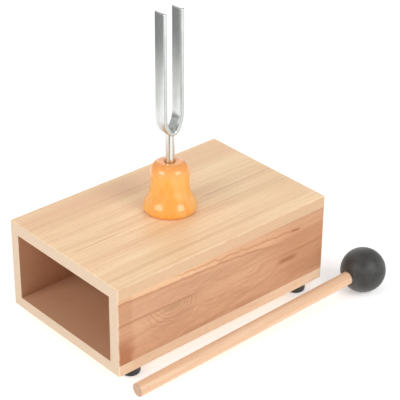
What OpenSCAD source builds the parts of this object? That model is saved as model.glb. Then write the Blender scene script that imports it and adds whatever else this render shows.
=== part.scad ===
// A tuning fork standing in a turned socket on its wooden resonance box, with its mallet.
// X runs along the box from the open end, Y from the near long side to the far one, Z is up.
// The origin is the middle of the box's footprint, on the surface that the feet stand on.

/* [Box] */
// Length of the box, along X
box_l = 180; // [140:1:260]
// Width of the box, along Y
box_w = 112.5; // [84:0.5:160]
// Height of the box, from the bottom board's underside to the top
box_h = 65.5; // [40:0.5:100]
// Thickness of the boards
board_t = 8.5; // [7:0.5:12]
// Rounding of the box's outer edges
edge_r = 1.2; // [0.4:0.1:2.5]

/* [Feet] */
// Diameter of a foot
foot_d = 13.4; // [11:0.2:18]
// Height of a foot
foot_h = 7; // [5.4:0.1:12]
// Rounding of a foot's lower rim
foot_round = 1.8; // [0.5:0.1:2]
// Distance of a foot's axis from the box's ends
foot_in_x = 16; // [12:0.5:40]
// Distance of a foot's axis from the box's long sides
foot_in_y = 8.8; // [8:0.2:30]
// Diameter of the recess for the screw head and its washer
foot_recess_d = 7.8; // [7.6:0.1:8.4]
// Rubber left above that recess
foot_web = 2.2; // [1.5:0.1:2.4]

/* [Fixings] */
// Shank diameter of the screws that hold the feet
foot_screw_d = 3; // [2.5:0.1:3.5]
// How far these screws reach into the bottom board
foot_screw_bite = 5.5; // [4:0.1:6]
// Shank diameter of the screw that holds the turned socket
bell_screw_d = 4; // [3:0.1:5]
// How far that screw reaches into the turned socket
bell_screw_bite = 6.5; // [4:0.1:8]
// Thickness of the washers
washer_t = 0.8; // [0.5:0.1:1]
// Clearance round the shanks and between a screw head and its recess
screw_gap = 0.05; // [0.02:0.01:0.1]

/* [Turned socket] */
// Height of the socket
bell_h = 35; // [31:0.5:50]
// Diameter of its straight upper body
bell_body_d = 26; // [22:0.2:32]
// Diameter at the widest place of its rim
bell_rim_d = 36; // [34:0.2:46]
// Height of that widest place above the box, and radius of the rounding below it
bell_rim_z = 2; // [0.5:0.1:3]
// Radius of the rounded lip above that place
bell_lip_r = 10; // [5:0.5:12]
// Radius of the hollow between the lip and the straight body
bell_hollow_r = 24; // [10:0.5:28]
// Radius of the rounded shoulder
bell_shoulder_r = 7; // [4:0.5:8.5]
// Depth of the bore that takes the fork's stem
socket_depth = 22; // [12:0.5:22]
// Width of the countersink at the bore's mouth
socket_sink = 0.8; // [0.3:0.1:1.4]

/* [Fork] */
// Diameter of the stem
stem_d = 6.2; // [5:0.1:7.6]
// Length of the stem between the socket and the yoke
stem_out = 20; // [8:0.5:40]
// Radial clearance of the stem in its bore and of its spigot in the yoke
stem_gap = 0.04; // [0.02:0.01:0.1]
// Diameter of the spigot that holds the stem in the yoke
spigot_d = 4; // [3:0.1:4.4]
// Height of the prongs, from the bottom of the yoke to their tips
prong_h = 86.5; // [60:0.5:160]
// Width of the prongs' broad faces, along Y
prong_w = 9.5; // [8.8:0.1:14]
// Thickness of the prongs
prong_t = 2.7; // [1.8:0.1:3.2]
// Distance over the outer faces of the two prongs, along X
prong_spread = 16.8; // [14:0.1:24]
// Outer radius of the bar at the bottom of the yoke
bend_low_r = 5.6; // [5.2:0.1:6.4]
// Outer radius of the bar where the yoke runs into the prongs
bend_side_r = 20; // [14:0.5:40]
// Gap round the stem in the seat under the yoke
seat_gap = 0.2; // [0.1:0.05:0.4]

/* [Mallet] */
// Length from the butt end of the stick to the middle of the ball
mallet_l = 197; // [120:1:260]
// Diameter of the stick
stick_d = 9.2; // [6:0.1:12]
// Chamfer of the stick's butt end
stick_chamfer = 0.5; // [0.2:0.1:1]
// Diameter of the ball
ball_d = 31.6; // [24:0.2:44]
// Depth of the ball's bore, from where the ball's surface would be
ball_bore = 21; // [12:0.5:23]
// Radial clearance of the stick in the ball
stick_gap = 0.05; // [0.02:0.01:0.2]
// How far the butt end lies from the plane of the open end, along X
mallet_in = 2.5; // [-20:0.5:60]
// Distance of the butt end's middle from the box's near side
mallet_off = 14.4; // [8:0.1:60]
// Angle that the mallet turns away from the box
mallet_turn = 2.1; // [0:0.1:20]

/* [Hidden] */
$fn = 96;

eps = 1;                                       // how far a cut runs past a face
straw = [0.94, 0.82, 0.65];
tan_wood = [0.80, 0.59, 0.45];
lacquer = [0.96, 0.67, 0.33];
rubber_black = [0.14, 0.14, 0.14];
steel = [0.80, 0.81, 0.82];

// Box
box_top = foot_h + box_h;
inner_w = box_w - 2 * board_t;
inner_h = box_h - 2 * board_t;

// Screws: head sizes follow the shank
foot_head_d = 2 * foot_screw_d;
foot_head_h = 0.65 * foot_screw_d;
foot_washer_d = foot_recess_d - 0.6;
foot_screw_l = washer_t + foot_web + foot_screw_bite;
foot_seat_z = foot_h - foot_web;               // where the washer meets the rubber
bell_head_d = 2 * bell_screw_d;
bell_head_h = 0.6 * bell_screw_d;
bell_washer_d = bell_head_d + 3;
bell_screw_l = washer_t + board_t + bell_screw_bite;

// Turned socket: the lip and the hollow, two arcs tangent to each other, make the flare
bell_body_r = bell_body_d / 2;
bell_rim_r = bell_rim_d / 2;
flare_out = bell_rim_r - bell_body_r;
flare_up = sqrt(2 * flare_out * (bell_lip_r + bell_hollow_r) - flare_out * flare_out);
flare_top = bell_rim_z + flare_up;
lip_share = bell_lip_r / (bell_lip_r + bell_hollow_r);
lip_top = bell_rim_z + lip_share * flare_up;
lip_top_r = bell_rim_r - lip_share * flare_out;
socket_r = stem_d / 2 + stem_gap;
socket_floor_z = box_top + bell_h - socket_depth;

// Fork: the yoke is a low arc between two longer ones, each tangent to the next. A flat seat for
// the stem is sunk into its underside, and the seat's rim stays below the curve all round
yoke_z = box_top + bell_h + stem_out;
bend_gap = bend_side_r - bend_low_r;
bend_in = bend_side_r - prong_spread / 2;
bend_up = sqrt(bend_gap * bend_gap - bend_in * bend_in);
bend_top = bend_low_r + bend_up;
seat_r = stem_d / 2 + seat_gap;
seat_rim = 0.08;
seat_depth = bend_low_r - sqrt(bend_low_r * bend_low_r - seat_r * seat_r) + seat_rim;
stem_chamfer = 0.5;

// Mallet: it rests on the ball and on the butt end's lower edge
ball_r = ball_d / 2;
stick_r = stick_d / 2;
mallet_tilt = asin((ball_r - stick_r) / (mallet_l - stick_chamfer));
butt_z = ball_r - mallet_l * sin(mallet_tilt);
ball_sink = 0.4;                               // chamfer at the mouth of the ball's bore

// --- Shared shapes ---

// Cross-section of a board that lies on y = 0, with its two upper corners rounded
module board_outline(w, t, r) {
    translate([-w / 2, 0]) square([w, t - r]);
    translate([-w / 2 + r, 0]) square([w - 2 * r, t]);
    for (s = [-1, 1])
        translate([s * (w / 2 - r), t - r]) circle(r);
}

// Plan of a board with its four corners rounded
module board_plan(l, w, r) {
    square([l - 2 * r, w], center = true);
    square([l, w - 2 * r], center = true);
    for (x = [-1, 1], y = [-1, 1])
        translate([x * (l / 2 - r), y * (w / 2 - r)]) circle(r);
}

// A board that lies on z = 0, rounded along its upper edges and its four corners
module outer_board(l, w, t, r) {
    intersection() {
        rotate([90, 0, 90]) linear_extrude(l + eps, center = true) board_outline(w, t, r);
        rotate([90, 0, 0]) linear_extrude(w + eps, center = true) board_outline(l, t, r);
        linear_extrude(t) board_plan(l, w, r);
    }
}

// A side board that stands on z = 0, with its outer face at y = 0 and its inner one at y = board_t
module side_board() {
    linear_extrude(inner_h) mirror([0, 1]) translate([0, -board_t])
        board_outline(box_l, board_t, edge_r);
}

// A wood screw that points up, with the underside of its pan head on z = 0
module wood_screw(d, head_d, head_h, l) {
    tip_l = d;
    dome_r = 0.75 * head_d;
    slot_l = 0.55 * head_d;
    slot_w = 0.15 * head_d;
    slot_depth = 0.5 * head_h;
    difference() {
        union() {
            cylinder(h = l - tip_l, d = d);
            translate([0, 0, l - tip_l]) cylinder(h = tip_l, d1 = d, d2 = 0.2 * d);
            intersection() {
                translate([0, 0, -head_h]) cylinder(h = head_h, d = head_d);
                translate([0, 0, dome_r - head_h]) sphere(dome_r);
            }
        }
        for (a = [0, 90])
            rotate([0, 0, a]) translate([-slot_l / 2, -slot_w / 2, -head_h - eps])
                cube([slot_l, slot_w, slot_depth + eps]);
    }
}

// The hole that a wood screw's shank makes, going up from z = 0
module screw_hole(d, l) {
    translate([0, 0, -eps]) cylinder(h = l + eps, d = d + 2 * screw_gap);
}

// A flat washer that lies on z = 0
module washer(d, hole_d) {
    difference() {
        cylinder(h = washer_t, d = d);
        screw_hole(hole_d, washer_t + eps);
    }
}

// Places what follows on the axis of a foot: x -1 is the open end, y -1 the near side
module at_foot(x, y) {
    translate([x * (box_l / 2 - foot_in_x), y * (box_w / 2 - foot_in_y), 0]) children();
}

// Places what follows on the axes of all four feet
module at_feet() {
    for (x = [-1, 1], y = [-1, 1])
        at_foot(x, y) children();
}

// Places what follows at a height on the axis of the socket and the fork, the box's middle
module at_bell(z) {
    translate([0, 0, z]) children();
}

// Turns what is built along +X from the butt end into the mallet's place
module at_mallet() {
    translate([-box_l / 2 + mallet_in, -box_w / 2 - mallet_off, butt_z])
        rotate([0, -mallet_tilt, -mallet_turn]) rotate([0, 90, 0]) children();
}

// --- Box ---

module top_board() {
    color(straw) difference() {
        translate([0, 0, box_top - board_t]) outer_board(box_l, box_w, board_t, edge_r);
        at_bell(box_top - board_t) screw_hole(bell_screw_d, board_t + eps);
    }
}

module bottom_board() {
    color(straw) difference() {
        translate([0, 0, foot_h + board_t]) mirror([0, 0, 1])
            outer_board(box_l, box_w, board_t, edge_r);
        translate([0, 0, foot_h]) at_feet() screw_hole(foot_screw_d, foot_screw_bite);
    }
}

module near_side() {
    color(tan_wood) translate([0, -box_w / 2, foot_h + board_t]) side_board();
}

module far_side() {
    color(tan_wood) translate([0, box_w / 2, foot_h + board_t]) rotate([0, 0, 180]) side_board();
}

module end_board() {
    color(tan_wood) translate([box_l / 2 - board_t, -inner_w / 2, foot_h + board_t])
        cube([board_t, inner_w, inner_h]);
}

// --- Feet ---

// A rubber foot that stands on z = 0, with a recess for the screw head from below
module foot() {
    r = foot_d / 2;
    color(rubber_black) difference() {
        rotate_extrude() {
            square([r - foot_round, foot_h]);
            translate([0, foot_round]) square([r, foot_h - foot_round]);
            intersection() {
                translate([r - foot_round, foot_round]) circle(foot_round);
                square([r, foot_h]);
            }
        }
        translate([0, 0, -eps]) cylinder(h = foot_seat_z + eps, d = foot_recess_d);
        screw_hole(foot_screw_d, foot_h + eps);
    }
}

module foot_near_open() {
    at_foot(-1, -1) foot();
}

module foot_far_open() {
    at_foot(-1, 1) foot();
}

module foot_near_closed() {
    at_foot(1, -1) foot();
}

module foot_far_closed() {
    at_foot(1, 1) foot();
}

module foot_screws() {
    color(steel) translate([0, 0, foot_seat_z - washer_t]) at_feet()
        wood_screw(foot_screw_d, foot_head_d, foot_head_h, foot_screw_l);
}

module foot_washers() {
    color(steel) translate([0, 0, foot_seat_z - washer_t]) at_feet()
        washer(foot_washer_d, foot_screw_d);
}

// --- Turned socket ---

// Half of the socket's outline, to the right of its axis
module bell_outline() {
    square([bell_body_r, bell_h - bell_shoulder_r]);
    square([bell_body_r - bell_shoulder_r, bell_h]);
    intersection() {
        translate([bell_body_r - bell_shoulder_r, bell_h - bell_shoulder_r]) circle(bell_shoulder_r);
        square([bell_body_r, bell_h]);
    }
    square([bell_rim_r - bell_rim_z, bell_rim_z + eps]);
    intersection() {
        translate([bell_rim_r - bell_rim_z, bell_rim_z]) circle(bell_rim_z);
        square([bell_rim_r, bell_rim_z]);
    }
    intersection() {
        translate([bell_rim_r - bell_lip_r, bell_rim_z]) circle(bell_lip_r);
        translate([0, bell_rim_z]) square([bell_rim_r, lip_top - bell_rim_z]);
    }
    difference() {
        translate([0, lip_top]) square([lip_top_r, flare_top - lip_top]);
        translate([bell_body_r + bell_hollow_r, flare_top]) circle(bell_hollow_r);
    }
}

module bell_socket() {
    color(lacquer) at_bell(box_top) difference() {
        rotate_extrude() bell_outline();
        translate([0, 0, bell_h - socket_depth]) cylinder(h = socket_depth + eps, r = socket_r);
        translate([0, 0, bell_h - socket_sink])
            cylinder(h = socket_sink + eps, r1 = socket_r, r2 = socket_r + socket_sink + eps);
        screw_hole(bell_screw_d, bell_screw_bite);
    }
}

module bell_screw() {
    color(steel) at_bell(box_top - board_t - washer_t)
        wood_screw(bell_screw_d, bell_head_d, bell_head_h, bell_screw_l);
}

module bell_washer() {
    color(steel) at_bell(box_top - board_t - washer_t) washer(bell_washer_d, bell_screw_d);
}

// --- Fork ---

module fork_stem() {
    shoulder_z = yoke_z + seat_depth;
    color(steel) at_bell(0) {
        translate([0, 0, socket_floor_z])
            cylinder(h = stem_chamfer, r1 = stem_d / 2 - stem_chamfer, r2 = stem_d / 2);
        translate([0, 0, socket_floor_z + stem_chamfer])
            cylinder(h = shoulder_z - socket_floor_z - stem_chamfer, d = stem_d);
        translate([0, 0, shoulder_z - eps])
            cylinder(h = prong_t - seat_depth + eps, d = spigot_d);
    }
}

// A U that lies a distance inside the fork's outline, which rests on y = 0
module bent_shape(inset, top) {
    half = prong_spread / 2 - inset;
    low_r = bend_low_r - inset;
    side_r = bend_side_r - inset;
    join_y = bend_low_r - low_r * bend_up / bend_gap;
    translate([0, bend_low_r]) circle(low_r);
    intersection() {
        translate([bend_in, bend_top]) circle(side_r);
        translate([-bend_in, bend_top]) circle(side_r);
        translate([-half, join_y]) square([2 * half, bend_top - join_y + eps]);
    }
    translate([-half, bend_top]) square([2 * half, top - bend_top]);
}

// Outline of the two prongs and the yoke
module prong_outline() {
    difference() {
        bent_shape(0, prong_h);
        bent_shape(prong_t, prong_h + eps);
    }
}

module fork_prongs() {
    color(steel) at_bell(yoke_z) difference() {
        rotate([90, 0, 0]) linear_extrude(prong_w, center = true) prong_outline();
        translate([0, 0, -eps]) cylinder(h = seat_depth + eps, r = seat_r);
        translate([0, 0, -eps]) cylinder(h = prong_t + 2 * eps, d = spigot_d + 2 * stem_gap);
    }
}

// --- Mallet ---

module mallet_stick() {
    stick_l = mallet_l - ball_r + ball_bore;
    color(straw) at_mallet() {
        cylinder(h = stick_chamfer, r1 = stick_r - stick_chamfer, r2 = stick_r);
        translate([0, 0, stick_chamfer]) cylinder(h = stick_l - stick_chamfer, r = stick_r);
    }
}

module mallet_ball() {
    bore_r = stick_r + stick_gap;
    mouth_z = mallet_l - sqrt(ball_r * ball_r - bore_r * bore_r);
    color(rubber_black) at_mallet() difference() {
        translate([0, 0, mallet_l]) sphere(ball_r);
        translate([0, 0, mallet_l - ball_r - eps]) cylinder(h = ball_bore + eps, r = bore_r);
        translate([0, 0, mouth_z - eps])
            cylinder(h = ball_sink + eps, r1 = bore_r + ball_sink + eps, r2 = bore_r);
    }
}

top_board();
bottom_board();
near_side();
far_side();
end_board();
bell_socket();
bell_screw();
bell_washer();
fork_stem();
fork_prongs();
foot_near_open();
foot_far_open();
foot_near_closed();
foot_far_closed();
foot_screws();
foot_washers();
mallet_stick();
mallet_ball();
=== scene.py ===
"""Looks for a tuning fork that stands on its wooden resonance box, with its mallet.

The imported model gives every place. Its boards, screws and washers keep their meshes and get
detailed finishes. The turned socket, the fork, the feet and the mallet are modelled again here,
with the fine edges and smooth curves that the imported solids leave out.
"""

import logging
import math
from dataclasses import dataclass
from enum import Enum

import bpy
from mathutils import Matrix, Vector


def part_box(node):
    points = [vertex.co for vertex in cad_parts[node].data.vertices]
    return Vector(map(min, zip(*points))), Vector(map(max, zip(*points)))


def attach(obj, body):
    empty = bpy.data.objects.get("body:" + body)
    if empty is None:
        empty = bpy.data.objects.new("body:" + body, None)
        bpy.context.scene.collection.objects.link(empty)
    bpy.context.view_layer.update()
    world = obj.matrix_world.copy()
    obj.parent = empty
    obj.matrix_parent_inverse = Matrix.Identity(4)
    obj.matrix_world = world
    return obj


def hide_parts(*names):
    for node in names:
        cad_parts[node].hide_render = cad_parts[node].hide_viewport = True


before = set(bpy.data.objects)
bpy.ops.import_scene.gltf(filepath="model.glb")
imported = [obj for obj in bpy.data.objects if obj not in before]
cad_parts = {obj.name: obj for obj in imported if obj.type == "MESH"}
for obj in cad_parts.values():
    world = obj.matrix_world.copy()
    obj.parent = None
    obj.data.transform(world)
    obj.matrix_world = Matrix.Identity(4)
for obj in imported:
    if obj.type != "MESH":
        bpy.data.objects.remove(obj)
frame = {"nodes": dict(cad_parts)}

MM = 0.001
WELD = 0.002 * MM
BORE_STEPS = 64
LOG = logging.getLogger("tuning_fork")

Socket = bpy.types.NodeSocket
Number = float | Socket
Paint = tuple[float, float, float, float]
Place = tuple[Socket, Socket, Socket]
Outline = list[tuple[float, float]]


class Slot(Enum):
    """The record's material slots."""

    PALE_WOOD = "pale_wood"
    RED_WOOD = "red_wood"
    LACQUER = "honey_lacquer"
    STICK_WOOD = "stick_wood"
    FORK_METAL = "fork_metal"
    STEM_METAL = "stem_metal"
    SCREW_METAL = "screw_metal"
    FOOT_RUBBER = "foot_rubber"
    BALL_RUBBER = "ball_rubber"


class Body(Enum):
    """The bodies that pieces ride on."""

    BOX = "box"
    STEM = "stem"
    PRONGS = "prongs"
    MALLET = "mallet"


def paint(red: int, green: int, blue: int) -> Paint:
    """Turns a display colour into the linear one that a shader takes.

    Args:
        red: Red, from 0 to 255.
        green: Green, from 0 to 255.
        blue: Blue, from 0 to 255.

    Returns:
        The linear colour, with full alpha.
    """
    linear = []
    for level in (red, green, blue):
        share = level / 255
        linear.append(share / 12.92 if share <= 0.04045 else ((share + 0.055) / 1.055) ** 2.4)
    return (linear[0], linear[1], linear[2], 1.0)


# --- Materials ---


class Graph:
    """A material under construction. Its patterns are laid out in millimetres."""

    def __init__(self, name: str) -> None:
        """Starts a material with one Principled shader.

        Args:
            name: The material's name.
        """
        self.material = bpy.data.materials.new(name)
        self.material.use_nodes = True
        self.tree = self.material.node_tree
        self.tree.nodes.clear()
        output = self.add("ShaderNodeOutputMaterial")
        self.shader = self.add("ShaderNodeBsdfPrincipled")
        self.tree.links.new(self.shader.outputs["BSDF"], output.inputs["Surface"])
        self.coordinates = self.add("ShaderNodeTexCoord")

    def add(self, kind: str, **settings: object) -> bpy.types.Node:
        """Adds a node.

        Args:
            kind: The node's type.
            **settings: Properties to set on it.

        Returns:
            The new node.
        """
        node = self.tree.nodes.new(kind)
        for key, value in settings.items():
            setattr(node, key, value)
        return node

    def feed(self, socket: Socket, value: object) -> None:
        """Links a socket, or sets its value.

        Args:
            socket: The input to feed.
            value: Another node's output, or a constant.
        """
        if isinstance(value, Socket):
            self.tree.links.new(value, socket)
        else:
            socket.default_value = value

    def maths(self, operation: str, *values: Number) -> Socket:
        """Adds a Math node.

        Args:
            operation: The node's operation.
            *values: Its one to three inputs.

        Returns:
            The result.
        """
        node = self.add("ShaderNodeMath", operation=operation)
        for socket, value in zip(node.inputs, values):
            self.feed(socket, value)
        return node.outputs[0]

    def total(self, *values: Number) -> Socket:
        """Adds up two or more numbers.

        Args:
            *values: The numbers.

        Returns:
            Their sum.
        """
        result = values[0]
        for value in values[1:]:
            result = self.maths("ADD", result, value)
        return result

    def product(self, *values: Number) -> Socket:
        """Multiplies two or more numbers.

        Args:
            *values: The numbers.

        Returns:
            Their product.
        """
        result = values[0]
        for value in values[1:]:
            result = self.maths("MULTIPLY", result, value)
        return result

    def length(self, *sides: Number) -> Socket:
        """Gives the length that some sides at right angles make.

        Args:
            *sides: The sides.

        Returns:
            The root of the sum of their squares.
        """
        return self.maths("SQRT", self.total(*(self.product(side, side) for side in sides)))

    def apart(self, value: Number, other: Number) -> Socket:
        """Gives the distance between two numbers."""
        return self.maths("ABSOLUTE", self.maths("SUBTRACT", value, other))

    def depth(self, value: Socket, start: float, end: float) -> Socket:
        """Measures how far a number lies inside a span.

        Args:
            value: The number.
            start: The span's start.
            end: The span's end.

        Returns:
            The distance to the nearer end, negative outside the span.
        """
        return self.maths("SUBTRACT", (end - start) / 2, self.apart(value, (start + end) / 2))

    def swing(self, noise: Socket, span: float) -> Socket:
        """Centres noise on 0 and stretches it over a span."""
        return self.product(self.maths("SUBTRACT", noise, 0.5), span)

    def point(self, turn: Matrix | None = None) -> Place:
        """Gives the place on the piece, in millimetres.

        Args:
            turn: Where the pattern's own frame stands. The piece's frame is used without it.

        Returns:
            The three coordinates.
        """
        mapping = self.add("ShaderNodeMapping", vector_type="TEXTURE")
        self.feed(mapping.inputs["Vector"], self.coordinates.outputs["Object"])
        if turn is not None:
            mapping.inputs["Location"].default_value = turn.to_translation()
            mapping.inputs["Rotation"].default_value = turn.to_euler()
        mapping.inputs["Scale"].default_value = (MM, MM, MM)
        split = self.add("ShaderNodeSeparateXYZ")
        self.feed(split.inputs[0], mapping.outputs[0])
        return (split.outputs[0], split.outputs[1], split.outputs[2])

    def facing(self) -> Place:
        """Gives how far the surface faces along each axis, from 0 to 1."""
        split = self.add("ShaderNodeSeparateXYZ")
        self.feed(split.inputs[0], self.coordinates.outputs["Normal"])
        x, y, z = (self.maths("ABSOLUTE", axis) for axis in split.outputs)
        return (x, y, z)

    def vector(self, x: Number, y: Number, z: Number) -> Socket:
        """Joins three numbers into a vector.

        Args:
            x: The first coordinate.
            y: The second coordinate.
            z: The third coordinate.

        Returns:
            The vector.
        """
        node = self.add("ShaderNodeCombineXYZ")
        for socket, value in zip(node.inputs, (x, y, z)):
            self.feed(socket, value)
        return node.outputs[0]

    def noise(
        self,
        place: tuple[Number, Number, Number],
        grain: tuple[float, float, float],
        detail: float = 2.0,
        seed: float = 0.0,
    ) -> Socket:
        """Adds soft noise whose blotches have a chosen size along each axis.

        Args:
            place: The three coordinates, in millimetres.
            grain: The blotches' size along each, in millimetres.
            detail: How many finer octaves it has.
            seed: Shifts the pattern.

        Returns:
            The noise, from 0 to 1 with most of it between 0.3 and 0.7.
        """
        scaled = [self.maths("MULTIPLY_ADD", p, 1 / g, seed) for p, g in zip(place, grain)]
        node = self.add("ShaderNodeTexNoise", noise_dimensions="3D")
        self.feed(node.inputs["Vector"], self.vector(*scaled))
        node.inputs["Scale"].default_value = 1.0
        node.inputs["Detail"].default_value = detail
        node.inputs["Roughness"].default_value = 0.55
        return node.outputs[0]

    def rise(self, value: Number, low: float, high: float, top: Number = 1.0) -> Socket:
        """Eases from 0 to a top value as a number goes from low to high.

        Args:
            value: The number.
            low: Where the result is still 0.
            high: Where it has reached the top. It may lie below low.
            top: The result there.

        Returns:
            The eased value.
        """
        node = self.add("ShaderNodeMapRange", interpolation_type="SMOOTHSTEP")
        self.feed(node.inputs["Value"], value)
        node.inputs["From Min"].default_value = low
        node.inputs["From Max"].default_value = high
        self.feed(node.inputs["To Max"], top)
        return node.outputs[0]

    def line(self, offset: Socket, width: Number) -> Socket:
        """Marks a soft line.

        Args:
            offset: The signed distance to the line's middle.
            width: The distance at which it has faded out.

        Returns:
            1 on the line, easing to 0 beside it.
        """
        share = self.maths("DIVIDE", self.maths("ABSOLUTE", offset), width)
        return self.rise(share, 1.0, 0.0)

    def mix(self, share: Number, low: object, high: object) -> Socket:
        """Mixes two colours.

        Args:
            share: How much of the second one there is.
            low: The first colour.
            high: The second colour.

        Returns:
            The mixed colour.
        """
        node = self.add("ShaderNodeMix", data_type="RGBA")
        self.feed(node.inputs[0], share)
        self.feed(node.inputs[6], low)
        self.feed(node.inputs[7], high)
        return node.outputs[2]

    def shade(self, colour: object, level: Socket) -> Socket:
        """Makes a colour lighter or darker.

        Args:
            colour: The colour.
            level: What it is multiplied by.

        Returns:
            The shaded colour.
        """
        node = self.add("ShaderNodeVectorMath", operation="SCALE")
        self.feed(node.inputs[0], colour if isinstance(colour, Socket) else colour[:3])
        self.feed(node.inputs["Scale"], level)
        return node.outputs[0]

    def bump(self, height: Socket, depth: float) -> Socket:
        """Turns a height into a bumped normal.

        Args:
            height: The height, from 0 to 1.
            depth: How deep that is, in millimetres.

        Returns:
            The normal.
        """
        node = self.add("ShaderNodeBump")
        node.inputs["Strength"].default_value = 1.0
        node.inputs["Distance"].default_value = depth * MM
        self.feed(node.inputs["Height"], height)
        return node.outputs[0]

    def edge_gap(self, low: Vector, high: Vector) -> Socket:
        """Measures how far the surface is from the nearest edge of a box.

        Args:
            low: The box's lowest corner.
            high: The box's highest corner.

        Returns:
            The distance, in millimetres.
        """
        gaps = [self.depth(*span) for span in zip(self.point(), low / MM, high / MM)]
        smaller = self.maths("MINIMUM", gaps[0], gaps[1])
        larger = self.maths("MAXIMUM", gaps[0], gaps[1])
        return self.maths("MAXIMUM", smaller, self.maths("MINIMUM", larger, gaps[2]))

    def finish(self, **inputs: object) -> bpy.types.Material:
        """Feeds the shader and gives the material.

        Args:
            **inputs: The shader's inputs, with underscores for spaces.

        Returns:
            The material.
        """
        for key, value in inputs.items():
            self.feed(self.shader.inputs[key.replace("_", " ")], value)
        return self.material


@dataclass(frozen=True)
class BoardFinish:
    """Sanded and thinly lacquered board, with its grain along X."""

    name: str
    pale: Paint
    late: Paint
    blush: Paint
    end: Paint
    pith: tuple[float, float]
    ring: float
    seed: float
    band_share: float = 0.55
    blush_share: float = 0.45
    pore: Paint = paint(128, 84, 56)
    # Lighter colour at the box's edges: partly wear, partly a painted highlight on their rounding.
    worn_and_lit_edge: Paint = paint(248, 226, 196)
    # Painted shade: the darker colour of the faces inside the box.
    painted_inside_shade: Paint = paint(196, 144, 110)
    inside_shade_share: float = 0.8
    inside_shade_start: float = 8.2
    inside_shade_full: float = 8.5

    def make(self) -> bpy.types.Material:
        """Builds the material."""
        g = Graph(self.name)
        place = g.point()
        rings = self.rings(g, place)
        colour = self.face_colour(g, place, rings)
        colour = self.mark(g, place, colour)
        return self.close(g, place, rings, colour)

    def rings(self, g: Graph, place: Place) -> Socket:
        """Measures the distance from the tree's pith, with the trunk's own waves.

        Args:
            g: The material.
            place: The place, in millimetres.

        Returns:
            The distance in millimetres.
        """
        x, y, z = place
        sway = g.noise((x, y, z), (110, 45, 45), 2, self.seed)
        ripple = g.noise((x, y, z), (28, 12, 12), 1, self.seed + 5)
        across = g.maths("SUBTRACT", y, self.pith[0])
        up = g.maths("SUBTRACT", z, self.pith[1])
        radius = g.length(across, up)
        return g.total(radius, g.product(sway, 16.0), g.product(ripple, 1.6))

    def face_colour(self, g: Graph, place: Place, rings: Socket) -> Socket:
        """Colours the long grain.

        Args:
            g: The material.
            place: The place, in millimetres.
            rings: The distance from the pith.

        Returns:
            The colour.
        """
        x, y, z = place
        broad = g.noise((x, rings, 0.0), (420, self.ring * 2.6, 1), 2, self.seed + 1)
        fine = g.noise((x, rings, 0.0), (260, self.ring * 0.75, 1), 3, self.seed + 2)
        bands = g.total(g.rise(broad, 0.4, 0.66, 0.55), g.rise(fine, 0.42, 0.68, 0.6))
        colour = g.mix(g.product(bands, self.band_share), self.pale, self.late)
        clouds = g.noise((x, y, z), (70, 16, 16), 3, self.seed + 3)
        colour = g.mix(g.rise(clouds, 0.42, 0.72, self.blush_share), colour, self.blush)
        fibre = g.noise((x, y, z), (24, 0.45, 0.45), 3, self.seed + 4)
        strand = g.noise((x, y, z), (60, 1.5, 1.5), 2, self.seed + 14)
        return g.shade(colour, g.total(g.product(fibre, 0.16), g.product(strand, 0.16), 0.84))

    def mark(self, g: Graph, place: Place, colour: Socket) -> Socket:
        """Adds the marks of this one board. A plain board has none."""
        return colour

    def close(
        self, g: Graph, place: Place, rings: Socket, colour: Socket
    ) -> bpy.types.Material:
        """Adds pores, end grain, painted shade inside the box and edges that are lighter from wear
        and from a painted highlight, and feeds the shader.

        Args:
            g: The material.
            place: The place, in millimetres.
            rings: The distance from the pith.
            colour: The long grain's colour.

        Returns:
            The material.
        """
        x, y, z = place
        dashes = g.noise((x, y, z), (3.2, 0.24, 0.24), 1, self.seed + 6)
        pores = g.rise(dashes, 0.62, 0.74)
        colour = g.mix(g.product(pores, 0.30), colour, self.pore)
        dots = g.noise((x, y, z), (2.0, 0.5, 0.5), 2, self.seed + 7)
        arcs = g.noise((rings, 0.0, 0.0), (1.3, 1, 1), 2, self.seed + 8)
        end_level = g.total(g.product(dots, 0.22), g.product(arcs, 0.20), 0.79)
        end_colour = g.shade(self.end, end_level)
        on_end = g.rise(g.facing()[0], 0.55, 0.9)
        colour = g.mix(on_end, colour, end_colour)
        low, high = BOARDS_BOX
        # Faces inside the box take a darker colour: painted shade for the box's hollow.
        colour = g.mix(self.inside(g, y, z, low, high), colour, self.painted_inside_shade)
        # The box's edges are lightened: partly wear, partly a painted highlight on their rounding.
        edge_wobble = g.noise((x, y, z), (7, 3, 3), 2, self.seed + 9)
        gap = g.total(g.edge_gap(low, high), g.product(edge_wobble, 1.6))
        colour = g.mix(g.rise(gap, 2.1, 0.9, 0.38), colour, self.worn_and_lit_edge)
        fibre = g.noise((x, y, z), (14, 0.3, 0.3), 3, self.seed + 10)
        height = g.maths("SUBTRACT", fibre, g.product(pores, 0.8))
        rough = g.maths("MULTIPLY_ADD", fibre, 0.22, 0.40)
        return g.finish(
            Base_Color=colour,
            Roughness=rough,
            Specular_IOR_Level=0.35,
            Coat_Weight=0.12,
            Coat_Roughness=0.32,
            Normal=g.bump(height, 0.035),
        )

    def inside(self, g: Graph, y: Socket, z: Socket, low: Vector, high: Vector) -> Socket:
        """Marks the faces that look into the box, which get a darker colour as painted shade for
        the box's hollow.

        Args:
            g: The material.
            y: The place across the box.
            z: The height.
            low: The box's lowest corner.
            high: The box's highest corner.

        Returns:
            How much of the painted inside shade there is.
        """
        across = g.depth(y, low.y / MM, high.y / MM)
        upright = g.depth(z, low.z / MM, high.z / MM)
        depth = g.maths("MINIMUM", across, upright)
        return g.rise(depth, self.inside_shade_start, self.inside_shade_full, self.inside_shade_share)


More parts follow.
